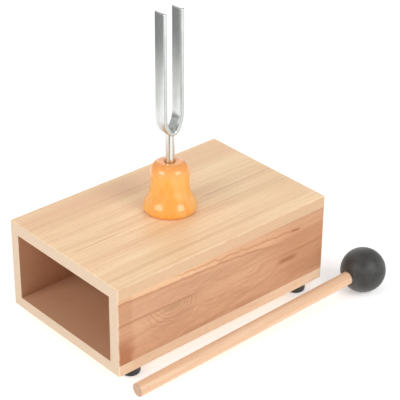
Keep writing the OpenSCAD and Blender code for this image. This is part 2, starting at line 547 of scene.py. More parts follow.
@dataclass(frozen=True)
class Streak:
    """A dark mark along the grain. Its places are in millimetres."""

    start: float
    end: float
    at: float
    slope: float
    width: float
    strength: float
    wave: float = 0.8
    longest_fade: float = 14.0

    def mask(self, g: Graph, along: Socket, across: Socket, seed: float) -> Socket:
        """Marks the streak.

        Args:
            g: The material.
            along: The place along the grain.
            across: The place across it.
            seed: Shifts the streak's waves.

        Returns:
            How dark it is, from 0 to its strength.
        """
        wave = g.noise((along, 0.0, 0.0), (16, 1, 1), 3, seed)
        middle = g.maths("MULTIPLY_ADD", along, self.slope, self.at - self.slope * self.start)
        middle = g.total(middle, g.swing(wave, 2 * self.wave))
        mark = g.line(g.maths("SUBTRACT", across, middle), self.width)
        fade = min(self.longest_fade, (self.end - self.start) / 3)
        head = g.rise(along, self.start, self.start + fade)
        tail = g.rise(along, self.end, self.end - fade)
        return g.product(mark, head, tail, self.strength)


@dataclass(frozen=True)
class TopFinish(BoardFinish):
    """The top board, whose darker lines run along the box."""

    streaks: tuple[Streak, ...] = ()
    streak: Paint = paint(196, 140, 100)
    ruddy: Paint = paint(228, 176, 140)
    amber: Paint = paint(236, 178, 122)
    amber_at: tuple[float, float] = (-21.0, -16.0)
    bright: Paint = paint(255, 224, 180)
    # Painted shade on the board's long edges, which face sideways.
    sideways_painted_shade: Paint = paint(208, 170, 135)

    def rings(self, g: Graph, place: Place) -> Socket:
        """Measures the distance across a slab-sawn board, whose bands run beside each other.

        Args:
            g: The material.
            place: The place, in millimetres.

        Returns:
            The distance in millimetres.
        """
        x, y, z = place
        sway = g.noise((x, y, z), (130, 40, 40), 2, self.seed)
        ripple = g.noise((x, y, z), (40, 9, 9), 1, self.seed + 5)
        return g.total(y, g.product(z, 0.4), g.product(sway, 12.0), g.product(ripple, 1.6))

    def mark(self, g: Graph, place: Place, colour: Socket) -> Socket:
        """Adds this board's lines, its ruddy, amber and bright parts, and a painted shade on its
        long edges, which face sideways.

        Args:
            g: The material.
            place: The place, in millimetres.
            colour: The colour so far.

        Returns:
            The colour with the marks.
        """
        x, y, _ = place
        for index, streak in enumerate(self.streaks):
            mask = streak.mask(g, x, y, self.seed + 20 + index)
            colour = g.mix(mask, colour, self.streak)
        far = g.product(g.rise(y, 26, 40), g.rise(y, 54, 46), 0.5)
        colour = g.mix(far, colour, self.ruddy)
        along = g.rise(g.apart(x, self.amber_at[0]), 22, 8)
        across = g.rise(g.apart(y, self.amber_at[1]), 9, 3)
        patch = g.product(along, across, 0.3)
        colour = g.mix(patch, colour, self.amber)
        colour = g.mix(g.rise(x, 10, 60, 0.22), colour, self.bright)
        # Faces that look across the box are darkened: painted shade on the board's long edges.
        edge = g.rise(g.facing()[1], 0.55, 0.9, 0.85)
        return g.mix(edge, colour, self.sideways_painted_shade)


@dataclass(frozen=True)
class FiguredFinish(BoardFinish):
    """The near side board, cut where sapwood meets heartwood, beside a knot."""

    streaks: tuple[Streak, ...] = ()
    streak: Paint = paint(158, 98, 60)
    wavy: Paint = paint(168, 116, 80)
    sap: Paint = paint(232, 188, 146)
    sap_line: Paint = paint(172, 112, 68)
    second_line: Paint = paint(186, 122, 64)
    knot_arc: Paint = paint(150, 104, 66)
    knot_heart: Paint = paint(160, 122, 76)
    red_corner: Paint = paint(166, 100, 62)
    red_column: Paint = paint(170, 108, 68)
    ruddy: Paint = paint(192, 128, 90)

    def mark(self, g: Graph, place: Place, colour: Socket) -> Socket:
        """Adds the sapwood, its ragged lines, the knot's arcs and the red patches.

        Args:
            g: The material.
            place: The place, in millimetres.
            colour: The colour so far.

        Returns:
            The colour with the marks.
        """
        x, _, z = place
        colour = self.curl(g, x, z, colour)
        colour = self.sapwood(g, x, z, colour)
        colour = self.arcs(g, x, z, colour)
        colour = self.patches(g, x, z, colour)
        for index, streak in enumerate(self.streaks):
            mask = streak.mask(g, x, z, self.seed + 20 + index)
            colour = g.mix(mask, colour, self.streak)
        return colour

    def curl(self, g: Graph, x: Socket, z: Socket, colour: Socket) -> Socket:
        """Adds the wavy grain that climbs past the knot, and the coarse fibre over it.

        Args:
            g: The material.
            x: The place along the box.
            z: The height.
            colour: The colour so far.

        Returns:
            The colour with the grain.
        """
        swell = g.noise((x, 0.0, z), (34, 1, 16), 2, self.seed + 15)
        climb = g.total(z, g.product(x, -0.16), g.product(swell, 22.0))
        fine = g.noise((x, 0.0, climb), (42, 1, 1.5), 2, self.seed + 16)
        wide = g.noise((x, 0.0, climb), (70, 1, 5.0), 2, self.seed + 17)
        waves = g.total(g.rise(fine, 0.42, 0.66, 0.5), g.rise(wide, 0.42, 0.64, 0.5))
        place = g.product(g.rise(x, -92, -30), g.rise(z, 62, 44))
        colour = g.mix(g.product(waves, place, 0.40), colour, self.wavy)
        fibre = g.noise((x, 0.0, z), (7, 1, 0.7), 3, self.seed + 18)
        return g.shade(colour, g.maths("MULTIPLY_ADD", fibre, 0.24, 0.90))

    def sapwood(self, g: Graph, x: Socket, z: Socket, colour: Socket) -> Socket:
        """Lays the pale sapwood above its ragged lower line.

        Args:
            g: The material.
            x: The place along the box.
            z: The height.
            colour: The colour so far.

        Returns:
            The colour with the sapwood.
        """
        notch = g.noise((x, 0.0, 0.0), (8, 1, 1), 6, self.seed + 11)
        past = g.maths("MAXIMUM", g.total(x, 10.0), 0.0)
        lower = g.total(g.maths("MULTIPLY_ADD", x, -0.041, 57.1), g.product(past, past, -0.0014))
        lower = g.total(lower, g.swing(notch, 3.2))
        above = g.maths("SUBTRACT", z, lower)
        fade = g.rise(x, 62, 26)
        left = g.maths("ADD", g.rise(x, 8, -34, 0.42), 0.30)
        pale = g.product(g.rise(above, -0.2, 1.2), fade, left)
        colour = g.mix(pale, colour, self.sap)
        ragged = g.line(above, 1.6)
        colour = g.mix(g.product(ragged, fade, 0.58), colour, self.sap_line)
        upper = g.maths("MULTIPLY_ADD", x, -0.0645, 60.4)
        upper = g.total(upper, g.swing(notch, -6.4))
        reach = g.product(g.rise(x, -52, -30), g.rise(x, 68, 60))
        second = g.line(g.maths("SUBTRACT", z, upper), 1.3)
        return g.mix(g.product(second, reach, 0.62), colour, self.second_line)

    def arcs(self, g: Graph, x: Socket, z: Socket, colour: Socket) -> Socket:
        """Draws the nested arcs that hang below the knot's dark line.

        Args:
            g: The material.
            x: The place along the box.
            z: The height.
            colour: The colour so far.

        Returns:
            The colour with the arcs.
        """
        wobble = g.noise((x, 0.0, z), (12, 1, 7), 2, self.seed + 12)
        across = g.product(g.total(x, 46.0), 0.74)
        drop = g.maths("SUBTRACT", 44.2, z)
        reach = g.total(g.length(across, drop), g.swing(wobble, 5.0))
        wave = g.maths("SINE", g.product(reach, 2.6))
        below = g.rise(drop, 0.0, 1.2)
        shown = g.product(below, g.rise(reach, 20.0, 12.0), g.rise(reach, 4.0, 6.5))
        colour = g.mix(g.product(g.rise(wave, -0.6, 1.0), shown, 0.30), colour, self.knot_arc)
        heart = g.product(below, g.rise(reach, 7.5, 3.0))
        return g.mix(g.product(heart, 0.5), colour, self.knot_heart)

    def patches(self, g: Graph, x: Socket, z: Socket, colour: Socket) -> Socket:
        """Tints the board's red lower corner and its ruddy closed end.

        Args:
            g: The material.
            x: The place along the box.
            z: The height.
            colour: The colour so far.

        Returns:
            The colour with the tints.
        """
        cloud = g.noise((x, 0.0, z), (9, 1, 9), 3, self.seed + 19)
        bound = g.total(x, g.product(cloud, 16.0), g.product(z, 0.12))
        corner = g.product(g.rise(bound, -62, -74), g.rise(z, 40, 26), 0.8)
        colour = g.mix(corner, colour, self.red_corner)
        column = g.product(g.rise(x, -77, -81), 0.26)
        colour = g.mix(column, colour, self.red_column)
        ruddy = g.product(g.rise(x, 20, 62), g.rise(z, 64, 50), g.rise(z, 12, 24), 0.42)
        return g.mix(ruddy, colour, self.ruddy)


@dataclass(frozen=True)
class TurnedFinish:
    """Turned wood under tinted gloss lacquer, with its grain upright."""

    name: str
    axis: tuple[float, float]
    honey: Paint
    amber: Paint
    rose: Paint
    top: float
    height: float
    fleck: Paint = paint(188, 104, 34)

    def make(self) -> bpy.types.Material:
        """Builds the material."""
        g = Graph(self.name)
        x, y, z = g.point()
        place = (g.maths("SUBTRACT", x, self.axis[0]), g.maths("SUBTRACT", y, self.axis[1]), z)
        clouds = g.noise(place, (9, 9, 26), 3, 3.1)
        colour = g.mix(g.rise(clouds, 0.4, 0.68, 0.8), self.honey, self.amber)
        share = g.maths("DIVIDE", g.maths("SUBTRACT", z, self.top - self.height), self.height)
        colour = g.mix(g.rise(share, 0.72, 1.0, 0.75), colour, self.rose)
        fibre = g.noise(place, (0.7, 0.7, 16), 3, 6.4)
        colour = g.shade(colour, g.maths("MULTIPLY_ADD", fibre, 0.24, 0.88))
        flecks = g.rise(g.noise(place, (0.35, 0.35, 2.6), 1, 8.2), 0.66, 0.76, 0.25)
        colour = g.mix(flecks, colour, self.fleck)
        ripple = g.noise(place, (5, 5, 1.1), 2, 4.7)
        rough = g.maths("MULTIPLY_ADD", clouds, 0.16, 0.34)
        return g.finish(
            Base_Color=colour,
            Roughness=rough,
            Specular_IOR_Level=0.3,
            Coat_Weight=0.75,
            Coat_Roughness=0.15,
            Coat_IOR=1.65,
            Normal=g.bump(ripple, 0.015),
        )


@dataclass(frozen=True)
class MetalFinish:
    """Bright metal with the fine lines that polishing leaves."""

    name: str
    tint: Paint
    dull: Paint
    grain: tuple[float, float, float]
    rough: float
    line_depth: float = 0.004

    def make(self) -> bpy.types.Material:
        """Builds the material."""
        g = Graph(self.name)
        place = g.point()
        lines = g.noise(place, self.grain, 3, 1.3)
        haze = g.noise(place, (7, 7, 15), 3, 5.2)
        colour = g.mix(g.rise(haze, 0.42, 0.74, 0.45), self.tint, self.dull)
        colour = g.shade(colour, g.maths("MULTIPLY_ADD", lines, 0.10, 0.95))
        rough = g.total(g.product(lines, 0.14), g.product(haze, 0.12), self.rough)
        return g.finish(
            Base_Color=colour,
            Metallic=1.0,
            Roughness=rough,
            Normal=g.bump(lines, self.line_depth),
        )


@dataclass(frozen=True)
class RubberFinish:
    """Moulded rubber with a satin sheen, cloudy bloom and specks of dust."""

    name: str
    black: Paint
    bloom: Paint
    rough: float
    grit: float
    sheen: float
    dust: Paint = paint(96, 94, 90)

    def make(self) -> bpy.types.Material:
        """Builds the material."""
        g = Graph(self.name)
        place = g.point()
        clouds = g.noise(place, (6, 6, 6), 4, 2.6)
        colour = g.mix(g.rise(clouds, 0.40, 0.74), self.black, self.bloom)
        specks = g.rise(g.noise(place, (0.5, 0.5, 0.5), 2, 7.7), 0.64, 0.74, 0.22)
        colour = g.mix(specks, colour, self.dust)
        skin = g.noise(place, (self.grit, self.grit, self.grit), 3, 4.4)
        rough = g.total(g.product(clouds, 0.18), g.product(skin, 0.08), self.rough)
        return g.finish(
            Base_Color=colour,
            Roughness=rough,
            Specular_IOR_Level=0.5,
            Sheen_Weight=self.sheen,
            Sheen_Roughness=0.5,
            Normal=g.bump(skin, 0.03),
        )


@dataclass(frozen=True)
class DowelFinish:
    """Sanded beech dowel, with its grain along its own axis."""

    name: str
    frame: Matrix
    pale: Paint
    warm: Paint
    fleck: Paint
    end: Paint

    def make(self) -> bpy.types.Material:
        """Builds the material. Its pattern's Z axis runs along the dowel."""
        g = Graph(self.name)
        x, y, z = g.point(self.frame)
        place = (x, y, z)
        bands = g.noise(place, (3.5, 3.5, 120), 3, 1.9)
        colour = g.mix(g.rise(bands, 0.38, 0.66, 0.8), self.pale, self.warm)
        fibre = g.noise(place, (0.4, 0.4, 18), 3, 3.8)
        colour = g.shade(colour, g.maths("MULTIPLY_ADD", fibre, 0.16, 0.92))
        ray = g.rise(g.noise(place, (0.3, 0.3, 1.7), 1, 6.1), 0.64, 0.74, 0.4)
        colour = g.mix(ray, colour, self.fleck)
        rings = g.noise((x, y, 0.0), (0.8, 2.5, 1), 2, 8.8)
        cut = g.shade(self.end, g.maths("MULTIPLY_ADD", rings, 0.3, 0.85))
        colour = g.mix(g.rise(z, 0.7, 0.3), colour, cut)
        height = g.maths("SUBTRACT", fibre, ray)
        return g.finish(
            Base_Color=colour,
            Roughness=g.maths("MULTIPLY_ADD", fibre, 0.2, 0.5),
            Specular_IOR_Level=0.3,
            Normal=g.bump(height, 0.03),
        )


# --- Modelling ---


class Bench:
    """The hand operations that new pieces are made with."""

    @staticmethod
    def clear() -> None:
        """Deselects everything."""
        if bpy.context.object is not None and bpy.context.object.mode != "OBJECT":
            bpy.ops.object.mode_set(mode="OBJECT")
        bpy.ops.object.select_all(action="DESELECT")

    @staticmethod
    def name(piece_name: str) -> bpy.types.Object:
        """Names the active object and its mesh.

        Args:
            piece_name: The name.

        Returns:
            The object.
        """
        piece = bpy.context.object
        piece.name = piece_name
        piece.data.name = piece_name
        return piece

    @staticmethod
    def lathe(
        piece_name: str, outline: Outline, centre: Vector, steps: int
    ) -> bpy.types.Object:
        """Turns an outline round an upright axis.

        Args:
            piece_name: The piece's name.
            outline: Radius and height of each point, from one end on the axis to the other.
            centre: The point on the axis from which heights count.
            steps: The number of faces round the piece.

        Returns:
            The closed piece.
        """
        Bench.clear()
        first = centre + Vector((outline[0][0], 0, outline[0][1]))
        bpy.ops.mesh.primitive_plane_add(size=MM, location=first)
        piece = Bench.name(piece_name)
        bpy.ops.object.transform_apply(location=True, rotation=True, scale=True)
        bpy.ops.object.mode_set(mode="EDIT")
        bpy.ops.mesh.select_all(action="SELECT")
        bpy.ops.mesh.merge(type="CENTER")
        for (r0, z0), (r1, z1) in zip(outline, outline[1:]):
            step = Vector((r1 - r0, 0, z1 - z0))
            bpy.ops.mesh.extrude_region_move(TRANSFORM_OT_translate={"value": step})
        bpy.ops.mesh.select_all(action="SELECT")
        bpy.ops.mesh.spin(
            steps=steps, angle=2 * math.pi, center=centre, axis=(0, 0, 1), use_auto_merge=False
        )
        bpy.ops.mesh.select_all(action="SELECT")
        bpy.ops.mesh.remove_doubles(threshold=WELD)
        bpy.ops.mesh.normals_make_consistent(inside=False)
        bpy.ops.object.mode_set(mode="OBJECT")
        return piece

    @staticmethod
    def smooth(piece: bpy.types.Object, degrees: float = 30) -> None:
        """Shades a piece smooth, with creases where it turns sharply.

        Args:
            piece: The piece.
            degrees: The angle above which an edge stays sharp.
        """
        Bench.clear()
        piece.select_set(True)
        bpy.context.view_layer.objects.active = piece
        bpy.ops.object.shade_smooth_by_angle(angle=math.radians(degrees))

    @staticmethod
    def bevel(piece: bpy.types.Object, width: float, segments: int) -> None:
        """Rounds a piece's sharp edges.

        Args:
            piece: The piece.
            width: The rounding's width.
            segments: The number of faces across it.
        """
        Bench.clear()
        bpy.context.view_layer.objects.active = piece
        piece.select_set(True)
        bpy.ops.object.modifier_add(type="BEVEL")
        bevel = piece.modifiers[-1]
        bevel.width = width
        bevel.segments = segments
        bevel.limit_method = "ANGLE"
        bevel.angle_limit = math.radians(40)
        bevel.harden_normals = False
        bpy.ops.object.modifier_apply(modifier=bevel.name)

    @staticmethod
    def bore(piece: bpy.types.Object, centre: Vector, radius: float, depth: float) -> None:
        """Drills an upright hole.

        Args:
            piece: The piece to drill.
            centre: The middle of the drilled length.
            radius: The hole's radius.
            depth: The drilled length.
        """
        Bench.clear()
        bpy.ops.mesh.primitive_cylinder_add(
            vertices=BORE_STEPS, radius=radius, depth=depth, location=centre
        )
        drill = bpy.context.object
        Bench.clear()
        bpy.context.view_layer.objects.active = piece
        piece.select_set(True)
        bpy.ops.object.modifier_add(type="BOOLEAN")
        cut = piece.modifiers[-1]
        cut.operation = "DIFFERENCE"
        cut.object = drill
        cut.solver = "EXACT"
        bpy.ops.object.modifier_apply(modifier=cut.name)
        bpy.data.objects.remove(drill)

    @staticmethod
    def sheet(piece_name: str, size: float, centre: Vector, corner: float) -> bpy.types.Object:
        """Lays a square sheet with rounded corners.

        Args:
            piece_name: The sheet's name.
            size: Its width and length.
            centre: Its middle.
            corner: How far its corners are cut back.

        Returns:
            The sheet.
        """
        Bench.clear()
        bpy.ops.mesh.primitive_plane_add(size=size, location=centre)
        piece = Bench.name(piece_name)
        bpy.ops.object.transform_apply(location=True, rotation=True, scale=True)
        bpy.ops.object.mode_set(mode="EDIT")
        bpy.ops.mesh.select_all(action="SELECT")
        bpy.ops.mesh.bevel(offset=corner, segments=6, affect="VERTICES")
        bpy.ops.object.mode_set(mode="OBJECT")
        return piece

    @staticmethod
    def settle(piece: bpy.types.Object, place: Matrix) -> None:
        """Moves a piece to its place and puts the place in its mesh.

        Args:
            piece: The piece, built at the origin.
            place: Where it stands.
        """
        Bench.clear()
        piece.matrix_world = place
        bpy.context.view_layer.objects.active = piece
        piece.select_set(True)
        bpy.ops.object.transform_apply(location=True, rotation=True, scale=True)


def underside(node: str) -> Vector:
    """Gives the middle of the underside of a CAD node's box."""
    low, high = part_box(node)
    return Vector(((low.x + high.x) / 2, (low.y + high.y) / 2, low.z))


def arc(
    centre: tuple[float, float], radius: float, start: float, end: float, steps: int
) -> Outline:
    """Gives points on an arc of an outline.

    Args:
        centre: The arc's centre, as radius and height.
        radius: The arc's radius.
        start: The first point's angle in degrees, from outwards towards up.
        end: The last point's angle.
        steps: The number of steps between them.

    Returns:
        The points, both ends included.
    """
    points = []
    for step in range(steps + 1):
        angle = math.radians(start + (end - start) * step / steps)
        points.append((centre[0] + radius * math.cos(angle), centre[1] + radius * math.sin(angle)))
    return points


def dress(piece: bpy.types.Object, material: bpy.types.Material) -> None:
    """Gives a piece one material.

    Args:
        piece: The piece.
        material: Its material.
    """
    piece.data.materials.clear()
    piece.data.materials.append(material)


def install(
    piece: bpy.types.Object, material: bpy.types.Material, slot: Slot, body: Body, *nodes: str
) -> None:
    """Dresses a new piece and puts it on its body in place of CAD nodes.

    Args:
        piece: The new piece.
        material: Its material.
        slot: The record's slot. It is not used.
        body: The body that it rides on.
        *nodes: The CAD nodes that it stands for.
    """
    dress(piece, material)
    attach(piece, body.value)
    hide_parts(*nodes)
    LOG.info("%s: %d faces, rides on %s", piece.name, len(piece.data.polygons), body.value)


def redress(material: bpy.types.Material, *nodes: str) -> None:
    """Gives CAD nodes a detailed material.

    Args:
        material: The material.
        *nodes: The nodes' names.
    """
    for node in nodes:
        piece = frame["nodes"][node]
        for slot in piece.material_slots:
            slot.material = material
        LOG.info("%s: kept from the packed model", node)


def boards_box() -> tuple[Vector, Vector]:
    """Gives the corners of the whole box, from its top and bottom boards."""
    return (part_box("bottom_board")[0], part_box("top_board")[1])


BOARDS_BOX = boards_box()


# --- Sub-assemblies ---


@dataclass
class ResonanceBox:
    """The five boards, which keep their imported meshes."""

    def build(self) -> None:
        """Dresses the boards."""
        pale = paint(249, 216, 174)
        end = paint(212, 187, 160)
        top = TopFinish(
            name="pale_board",
            pale=pale,
            late=paint(224, 176, 130),
            blush=paint(238, 188, 147),
            end=end,
            pith=(0.0, 0.0),
            ring=4.0,
            seed=12.0,
            streaks=(
                Streak(20, 96, -3.4, 0.0, 1.1, 0.5, 0.8),
                Streak(-92, -40, -4.0, 0.0, 1.2, 0.4, 0.8),
                Streak(-96, 96, -45.0, 0.004, 2.2, 0.28),
                Streak(-96, 96, -20.0, 0.0, 2.0, 0.16),
                Streak(-96, 96, 36.0, 0.0, 2.4, 0.22),
                Streak(-60, 96, 6.0, 0.0, 2.0, 0.18),
            ),
        )
        redress(top.make(), "top_board")
        bottom = BoardFinish(
            name="pale_board_below",
            pale=paint(236, 206, 174),
            late=paint(212, 168, 132),
            blush=paint(222, 184, 152),
            end=end,
            pith=(14.0, -30.0),
            ring=5.5,
            seed=31.0,
        )
        redress(bottom.make(), "bottom_board")
        near = FiguredFinish(
            name="figured_side",
            pale=paint(211, 162, 125),
            late=paint(170, 118, 82),
            blush=paint(194, 136, 104),
            end=end,
            pith=(-70.0, 24.0),
            ring=4.0,
            seed=47.0,
            band_share=0.45,
            streaks=(
                Streak(-104, -22, 45.4, -0.022, 1.3, 0.6, 0.5),
                Streak(36, 96, 40.6, -0.01, 1.2, 0.3, 0.6),
                Streak(44, 68, 36.2, 0.0, 3.4, 0.8, 0.6),
                Streak(57, 68, 56.4, -0.05, 1.5, 0.9, 0.3),
            ),
        )
        redress(near.make(), "near_side")
        plain = BoardFinish(
            name="plain_side",
            pale=paint(211, 162, 125),
            late=paint(176, 122, 86),
            blush=paint(196, 138, 106),
            end=end,
            pith=(80.0, 52.0),
            ring=4.5,
            seed=64.0,
        )
        redress(plain.make(), "far_side", "end_board")


@dataclass
class TurnedSocket:
    """The bell-shaped wooden socket, which a hidden screw holds. The screw keeps its imported mesh
    and is dressed with the feet's fixings.
    """

    height: float = 35 * MM
    body_r: float = 13 * MM
    rim_r: float = 18 * MM
    rim_z: float = 2 * MM
    lip_r: float = 10 * MM
    hollow_r: float = 24 * MM
    shoulder_r: float = 7 * MM
    bore_r: float = 3.14 * MM
    bore_depth: float = 22 * MM
    sink: float = 0.8 * MM
    mouth_ease: float = 0.25 * MM
    steps: int = 128

    def outline(self) -> Outline:
        """Gives the outline from the middle of the underside up to the bottom of the bore.

        Returns:
            Radius and height of each point.
        """
        out = self.rim_r - self.body_r
        reach = self.lip_r + self.hollow_r
        up = math.sqrt(2 * out * reach - out * out)
        lean = math.degrees(math.asin(up / reach))
        lip = (self.rim_r - self.lip_r, self.rim_z)
        hollow = (self.body_r + self.hollow_r, self.rim_z + up)
        shoulder_x = self.body_r - self.shoulder_r
        mouth_r = self.bore_r + self.sink
        floor = self.height - self.bore_depth
        points = [(0.0, 0.0)]
        points += arc((self.rim_r - self.rim_z, self.rim_z), self.rim_z, -90, 0, 10)
        points += arc(lip, self.lip_r, 0, lean, 20)[1:]
        points += arc(hollow, self.hollow_r, 180 + lean, 180, 22)[1:]
        points += arc((shoulder_x, self.height - self.shoulder_r), self.shoulder_r, 0, 90, 20)
        mouth = (mouth_r + self.mouth_ease, self.height - self.mouth_ease)
        points += arc(mouth, self.mouth_ease, 90, 135, 3)
        points += [(self.bore_r, self.height - self.sink), (self.bore_r, floor), (0.0, floor)]
        return points

    def build(self) -> None:
        """Turns and dresses the socket."""
        centre = underside("bell_socket")
        piece = Bench.lathe("turned_socket", self.outline(), centre, self.steps)
        Bench.smooth(piece)
        finish = TurnedFinish(
            name="honey_lacquer",
            axis=(centre.x / MM, centre.y / MM),
            honey=paint(250, 182, 92),
            amber=paint(246, 160, 50),
            rose=paint(240, 153, 76),
            top=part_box("bell_socket")[1].z / MM,
            height=self.height / MM,
        )
        install(piece, finish.make(), Slot.LACQUER, Body.BOX, "bell_socket")


@dataclass
class Fork:
    """The U-shaped bar with its two prongs, and the round stem that it stands on."""

    prong_t: float = 2.7 * MM
    low_r: float = 5.6 * MM
    side_r: float = 20 * MM
    stem_r: float = 3.1 * MM
    spigot_r: float = 2 * MM
    seat_gap: float = 0.2 * MM
    seat_rim: float = 0.08 * MM
    spigot_gap: float = 0.04 * MM
    edge: float = 0.7 * MM
    stem_chamfer: float = 0.5 * MM
    stem_ease: float = 0.15 * MM
    edge_steps: int = 4
    side_steps: int = 16
    low_steps: int = 24
    stem_steps: int = 72

    def build(self) -> None:
        """Builds and dresses both pieces."""
        bright = MetalFinish(
            name="bright_fork",
            tint=paint(222, 224, 222),
            dull=paint(198, 200, 196),
            grain=(0.25, 0.25, 30),
            rough=0.11,
        )
        rod = MetalFinish(
            name="bright_rod",
            tint=paint(226, 226, 222),
            dull=paint(200, 200, 194),
            grain=(4, 4, 0.22),
            rough=0.10,
        )
        install(self.bar(), bright.make(), Slot.FORK_METAL, Body.PRONGS, "fork_prongs")
        install(self.stem(), rod.make(), Slot.STEM_METAL, Body.STEM, "fork_stem")

    def seat_depth(self) -> float:
        """Gives how deep the stem's seat goes into the yoke, above its lowest line."""
        seat_r = self.stem_r + self.seat_gap
        return self.low_r - math.sqrt(self.low_r**2 - seat_r**2) + self.seat_rim

    def bar(self) -> bpy.types.Object:
        """Bends the bar, eases its edges and drills the stem's seat.

        Returns:
            The bar.
        """
        low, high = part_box("fork_prongs")
        middle = (low + high) / 2
        inset = self.side_r - (high.x - low.x) / 2
        gap = self.side_r - self.low_r
        rise = math.sqrt(gap**2 - inset**2)
        side_turn = math.asin(rise / gap)
        bend_z = low.z + self.low_r + rise
        start = Vector((low.x + self.prong_t / 2, middle.y, high.z))
        Bench.clear()
        bpy.ops.mesh.primitive_plane_add(size=1, location=start)
        piece = Bench.name("fork_bar")
        piece.scale = (self.prong_t, high.y - low.y, 1)
        bpy.ops.object.transform_apply(location=True, rotation=True, scale=True)
        bpy.ops.object.mode_set(mode="EDIT")
        bpy.ops.mesh.select_all(action="SELECT")
        drop = {"value": (0, 0, bend_z - high.z)}
        bpy.ops.mesh.extrude_region_move(TRANSFORM_OT_translate=drop)
        self.bend(Vector((middle.x + inset, middle.y, bend_z)), side_turn, self.side_steps)
        low_centre = Vector((middle.x, middle.y, low.z + self.low_r))
        self.bend(low_centre, math.pi - 2 * side_turn, self.low_steps)
        self.bend(Vector((middle.x - inset, middle.y, bend_z)), side_turn, self.side_steps)
        lift = {"value": (0, 0, high.z - bend_z)}
        bpy.ops.mesh.extrude_region_move(TRANSFORM_OT_translate=lift)
        bpy.ops.mesh.select_all(action="SELECT")
        bpy.ops.mesh.remove_doubles(threshold=WELD)
        bpy.ops.mesh.normals_make_consistent(inside=False)
        bpy.ops.object.mode_set(mode="OBJECT")
        Bench.bevel(piece, self.edge, self.edge_steps)
        base = Vector((middle.x, middle.y, low.z))
        Bench.bore(piece, base, self.stem_r + self.seat_gap, 2 * self.seat_depth())
        Bench.bore(piece, base, self.spigot_r + self.spigot_gap, 4 * self.prong_t)
        Bench.smooth(piece, 28)
        return piece

    @staticmethod
    def bend(centre: Vector, angle: float, steps: int) -> None:
        """Carries the bar's open end round a bend, in the mesh that is being edited.

        Args:
            centre: The bend's centre.
            angle: How far the bar turns, in radians.
            steps: The number of faces along the bend.
        """
        bpy.ops.mesh.spin(steps=steps, angle=angle, center=centre, axis=(0, 1, 0))

    def stem(self) -> bpy.types.Object:
        """Turns the stem with its spigot.

        Returns:
            The stem.
        """
        low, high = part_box("fork_stem")
        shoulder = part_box("fork_prongs")[0].z + self.seat_depth() - low.z
        top = high.z - low.z
        ease = self.stem_ease
        outline = [
            (0.0, 0.0),
            (self.stem_r - self.stem_chamfer, 0.0),
            (self.stem_r, self.stem_chamfer),
            (self.stem_r, shoulder - ease),
            (self.stem_r - ease, shoulder),
            (self.spigot_r, shoulder),
            (self.spigot_r, top - ease),
            (self.spigot_r - ease, top),
            (0.0, top),
        ]
        piece = Bench.lathe("fork_stem_rod", outline, underside("fork_stem"), self.stem_steps)
        Bench.smooth(piece)
        return piece


@dataclass
class Mallet:
    """The loose mallet: a dowel in the bore of a rubber ball."""

    length: float = 197 * MM
    stick_r: float = 4.6 * MM
    stick_chamfer: float = 0.5 * MM
    ball_bore: float = 21 * MM
    bore_gap: float = 0.05 * MM
    mouth_sink: float = 0.4 * MM
    turn: float = math.radians(2.1)
    stick_steps: int = 72
    ball_steps: int = 112

    def build(self) -> None:
        """Builds and dresses both pieces."""
        low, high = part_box("mallet_ball")
        ball_r = (high.y - low.y) / 2
        ball_centre = Vector((high.x - ball_r, (low.y + high.y) / 2, (low.z + high.z) / 2))
        tilt = math.asin((ball_r - self.stick_r) / (self.length - self.stick_chamfer))
        along = Vector(
            (
                math.cos(tilt) * math.cos(self.turn),
                -math.cos(tilt) * math.sin(self.turn),
                math.sin(tilt),
            )
        )
        butt = ball_centre - along * self.length
        place = Matrix.Translation(butt) @ along.to_track_quat("Z", "Y").to_matrix().to_4x4()
        stick = self.stick(ball_r)
        ball = self.ball(ball_r)
        for piece in (stick, ball):
            Bench.settle(piece, place)
            Bench.smooth(piece)
        dowel = DowelFinish(
            name="beech_dowel",
            frame=place,
            pale=paint(232, 196, 163),
            warm=paint(220, 176, 140),
            fleck=paint(186, 130, 94),
            end=paint(190, 158, 134),
        )
        rubber = RubberFinish(
            name="ball_rubber",
            black=paint(46, 46, 45),
            bloom=paint(66, 65, 63),
            rough=0.34,
            grit=0.7,
            sheen=0.15,
        )
        install(stick, dowel.make(), Slot.STICK_WOOD, Body.MALLET, "mallet_stick")
        install(ball, rubber.make(), Slot.BALL_RUBBER, Body.MALLET, "mallet_ball")

    def stick(self, ball_r: float) -> bpy.types.Object:
        """Turns the stick along Z, with its butt end at the origin.

        Args:
            ball_r: The ball's radius.

        Returns:
            The stick.
        """
        end = self.length - ball_r + self.ball_bore
        outline = [(0.0, 0.0)]
        outline += arc(
            (self.stick_r - self.stick_chamfer, self.stick_chamfer), self.stick_chamfer, -90, 0, 5
        )
        outline += [(self.stick_r, end), (0.0, end)]
        return Bench.lathe("mallet_dowel", outline, Vector(), self.stick_steps)

    def ball(self, ball_r: float) -> bpy.types.Object:
        """Turns the ball along Z, with its bore towards the butt end.

        Args:
            ball_r: The ball's radius.

        Returns:
            The ball.
        """
        bore_r = self.stick_r + self.bore_gap
        mouth_r = bore_r + self.mouth_sink
        floor = self.length - ball_r + self.ball_bore
        mouth = -math.degrees(math.acos(mouth_r / ball_r))
        mouth_z = self.length - math.sqrt(ball_r**2 - mouth_r**2)
        outline = [(0.0, floor), (bore_r, floor), (bore_r, mouth_z + self.mouth_sink)]
        outline += arc((0.0, self.length), ball_r, mouth, 90, 60)[:-1]
        outline += [(0.0, self.length + ball_r)]
        return Bench.lathe("mallet_rubber_ball", outline, Vector(), self.ball_steps)


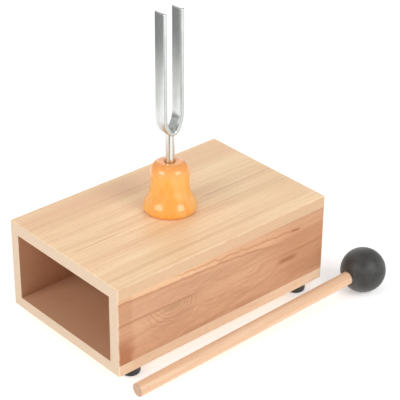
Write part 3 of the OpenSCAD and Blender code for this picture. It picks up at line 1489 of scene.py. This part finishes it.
@dataclass
class Feet:
    """The four rubber feet, with their screws and washers."""

    foot_r: float = 6.7 * MM
    rounding: float = 1.8 * MM
    recess_r: float = 3.9 * MM
    web: float = 2.2 * MM
    hole_r: float = 1.55 * MM
    steps: int = 64
    nodes: tuple[str, ...] = (
        "foot_near_open",
        "foot_far_open",
        "foot_near_closed",
        "foot_far_closed",
    )

    def build(self) -> None:
        """Builds one foot, copies it to the other corners and dresses all fixings."""
        rubber = RubberFinish(
            name="foot_rubber",
            black=paint(38, 38, 40),
            bloom=paint(56, 56, 58),
            rough=0.42,
            grit=0.4,
            sheen=0.1,
        ).make()
        pattern = self.foot()
        for node in self.nodes:
            piece = pattern.copy()
            piece.data = pattern.data.copy()
            piece.name = piece.data.name = node.replace("foot", "rubber_foot")
            bpy.context.scene.collection.objects.link(piece)
            Bench.settle(piece, Matrix.Translation(underside(node)))
            install(piece, rubber, Slot.FOOT_RUBBER, Body.BOX, node)
        bpy.data.objects.remove(pattern)
        zinc = MetalFinish(
            name="zinc_screw",
            tint=paint(206, 204, 196),
            dull=paint(170, 168, 160),
            grain=(0.6, 0.6, 0.2),
            rough=0.26,
        ).make()
        redress(zinc, "foot_screws", "foot_washers", "bell_screw", "bell_washer")

    def foot(self) -> bpy.types.Object:
        """Turns a foot that stands on the origin, with its recess below.

        Returns:
            The foot.
        """
        low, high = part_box(self.nodes[0])
        height = high.z - low.z
        seat = height - self.web
        outline = [(self.hole_r, seat), (self.recess_r, seat), (self.recess_r, 0.0)]
        outline += arc((self.foot_r - self.rounding, self.rounding), self.rounding, -90, 0, 8)
        outline += [(self.foot_r, height), (self.hole_r, height), (self.hole_r, seat)]
        piece = Bench.lathe("foot_pattern", outline, Vector(), self.steps)
        Bench.smooth(piece)
        return piece


def only_mirrored(piece: bpy.types.Object) -> None:
    """Keeps a piece of the studio out of sight, except in reflections.

    Args:
        piece: The piece.
    """
    piece.visible_camera = False
    piece.visible_diffuse = False
    piece.visible_shadow = False
    piece.visible_transmission = False


@dataclass(frozen=True)
class Card:
    """A card on the floor that only reflections show.

    Its colour changes between the two distances of turn, which are in millimetres from the
    middle of the floor.
    """

    name: str
    centre: tuple[float, float]
    size: float
    turn: tuple[float, float]
    near: Paint
    far: Paint
    height: float = 0.002
    corner: float = 0.04

    def lay(self) -> None:
        """Lays and dresses the card."""
        middle = Vector((*self.centre, self.height))
        card = Bench.sheet(self.name, self.size, middle, self.corner)
        g = Graph(self.name)
        place = g.point()
        soft = g.noise(place, (60, 60, 60), 2, 3.0)
        away = g.total(g.length(place[0], place[1], 1.0), g.product(soft, 30.0))
        colour = g.mix(g.rise(away, *self.turn), self.near, self.far)
        dress(card, g.finish(Base_Color=colour, Roughness=1.0))
        only_mirrored(card)


@dataclass
class Studio:
    """Floor, lights and camera."""

    azimuth: float = -41.672
    elevation: float = 29.638
    roll: float = 0.49
    distance: float = 1.06872
    lens: float = 133.59
    target: tuple[float, float, float] = (63.21 * MM, 41.07 * MM, 37.0 * MM)
    light_swing: float = 53.0
    light_height: float = 34.0
    light_distance: float = 1.1
    light_power: float = 4.6
    light_size: tuple[float, float] = (0.56, 0.6)
    sky_level: float = 0.55
    floor_size: float = 1.2
    floor_inset: float = 0.2
    floor_spread: float = 12.0
    floor_glow: float = 0.36
    cards: tuple[Card, ...] = (
        Card(
            name="card_behind",
            centre=(-0.62, 0.70),
            size=0.90,
            turn=(455, 560),
            near=paint(226, 226, 221),
            far=paint(128, 130, 132),
        ),
        Card(
            name="card_beside",
            centre=(0.27, -0.32),
            size=0.46,
            turn=(650, 900),
            near=paint(243, 243, 240),
            far=paint(128, 130, 132),
        ),
        Card(
            name="card_in_front",
            centre=(-0.41, -0.37),
            size=0.54,
            turn=(60, 140),
            near=paint(226, 226, 221),
            far=paint(124, 125, 127),
        ),
    )
    panel_size: float = 0.8
    panel_corner: float = 0.1
    panel_way: tuple[float, float, float] = (0.59, 0.71, 0.38)
    panel_distance: float = 1.2
    panel_glow: float = 0.8

    @staticmethod
    def direction(azimuth: float, elevation: float) -> Vector:
        """Gives the direction from the object to a place round it.

        Args:
            azimuth: The turn about Z in degrees, 0 on the near side.
            elevation: The angle above the floor in degrees.

        Returns:
            The unit vector.
        """
        turn = math.radians(azimuth)
        up = math.radians(elevation)
        return Vector(
            (math.sin(turn) * math.cos(up), -math.cos(turn) * math.cos(up), math.sin(up))
        )

    def build(self) -> None:
        """Sets up the floor, the lights and the camera."""
        self.floor()
        self.world()
        for side in (-1, 1):
            self.softbox(f"softbox_{'left' if side < 0 else 'right'}", side)
        for card in self.cards:
            card.lay()
        self.panel()
        self.camera()
        bpy.context.scene.view_settings.view_transform = "Standard"

    def floor(self) -> None:
        """Lays the pale floor."""
        Bench.clear()
        bpy.ops.mesh.primitive_plane_add(size=self.floor_size, location=(0, 0, 0))
        floor = Bench.name("floor")
        bpy.ops.object.mode_set(mode="EDIT")
        bpy.ops.mesh.select_all(action="SELECT")
        bpy.ops.mesh.inset(thickness=self.floor_inset)
        bpy.ops.mesh.select_all(action="SELECT")
        spread = (self.floor_spread, self.floor_spread, 1)
        bpy.ops.transform.resize(value=spread, center_override=(0, 0, 0))
        bpy.ops.object.mode_set(mode="OBJECT")
        g = Graph("pale_floor")
        soft = g.noise(g.point(), (90, 90, 90), 2, 1.0)
        dress(
            floor,
            g.finish(
                Base_Color=g.mix(soft, paint(246, 246, 246), paint(250, 250, 250)),
                Roughness=0.9,
                Specular_IOR_Level=0.1,
                Emission_Color=(1.0, 1.0, 1.0, 1.0),
                Emission_Strength=self.floor_glow,
            ),
        )

    def world(self) -> None:
        """Fills the room with even light."""
        world = bpy.data.worlds.new("studio")
        bpy.context.scene.world = world
        world.use_nodes = True
        sky = world.node_tree.nodes["Background"]
        sky.inputs["Color"].default_value = (1.0, 1.0, 1.0, 1.0)
        sky.inputs["Strength"].default_value = self.sky_level

    def softbox(self, name: str, side: int) -> None:
        """Hangs one of the two front lights.

        Args:
            name: The light's name.
            side: -1 for the left one, 1 for the right one.
        """
        way = self.direction(self.azimuth + side * self.light_swing, self.light_height)
        Bench.clear()
        bpy.ops.object.light_add(type="AREA", location=way * self.light_distance)
        light = bpy.context.object
        light.name = name
        light.rotation_mode = "QUATERNION"
        light.rotation_quaternion = way.to_track_quat("Z", "Y")
        light.data.shape = "RECTANGLE"
        light.data.size = self.light_size[0]
        light.data.size_y = self.light_size[1]
        light.data.energy = self.light_power

    def panel(self) -> None:
        """Stands a white panel behind the fork, which the tips' upper faces mirror."""
        panel = Bench.sheet("white_panel", self.panel_size, Vector(), self.panel_corner)
        way = Vector(self.panel_way).normalized()
        turn = way.to_track_quat("Z", "Y").to_matrix().to_4x4()
        Bench.settle(panel, Matrix.Translation(way * self.panel_distance) @ turn)
        g = Graph("white_panel")
        soft = g.noise(g.point(), (300, 300, 300), 1, 5.0)
        glow = g.mix(soft, paint(250, 250, 250), paint(255, 255, 255))
        finish = g.finish(
            Base_Color=glow,
            Roughness=1.0,
            Emission_Color=glow,
            Emission_Strength=self.panel_glow,
        )
        dress(panel, finish)
        only_mirrored(panel)

    def camera(self) -> None:
        """Places the camera."""
        back = self.direction(self.azimuth, self.elevation)
        data = bpy.data.cameras.new("camera")
        data.lens = self.lens
        data.sensor_width = 36.0
        data.clip_start = 0.05
        data.clip_end = 50.0
        camera = bpy.data.objects.new("camera", data)
        bpy.context.scene.collection.objects.link(camera)
        camera.location = Vector(self.target) + back * self.distance
        facing = back.to_track_quat("Z", "Y").to_matrix().to_4x4()
        turn = facing @ Matrix.Rotation(math.radians(self.roll), 4, "Z")
        camera.rotation_mode = "QUATERNION"
        camera.rotation_quaternion = turn.to_quaternion()
        bpy.context.scene.camera = camera


def main() -> None:
    """Builds every sub-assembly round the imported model."""
    logging.basicConfig(level=logging.INFO, format="%(message)s")
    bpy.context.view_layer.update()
    for part in (ResonanceBox(), TurnedSocket(), Fork(), Feet(), Mallet()):
        part.build()
        LOG.info("%s is done", type(part).__name__)
    Studio().build()


if __name__ == "__main__":
    main()
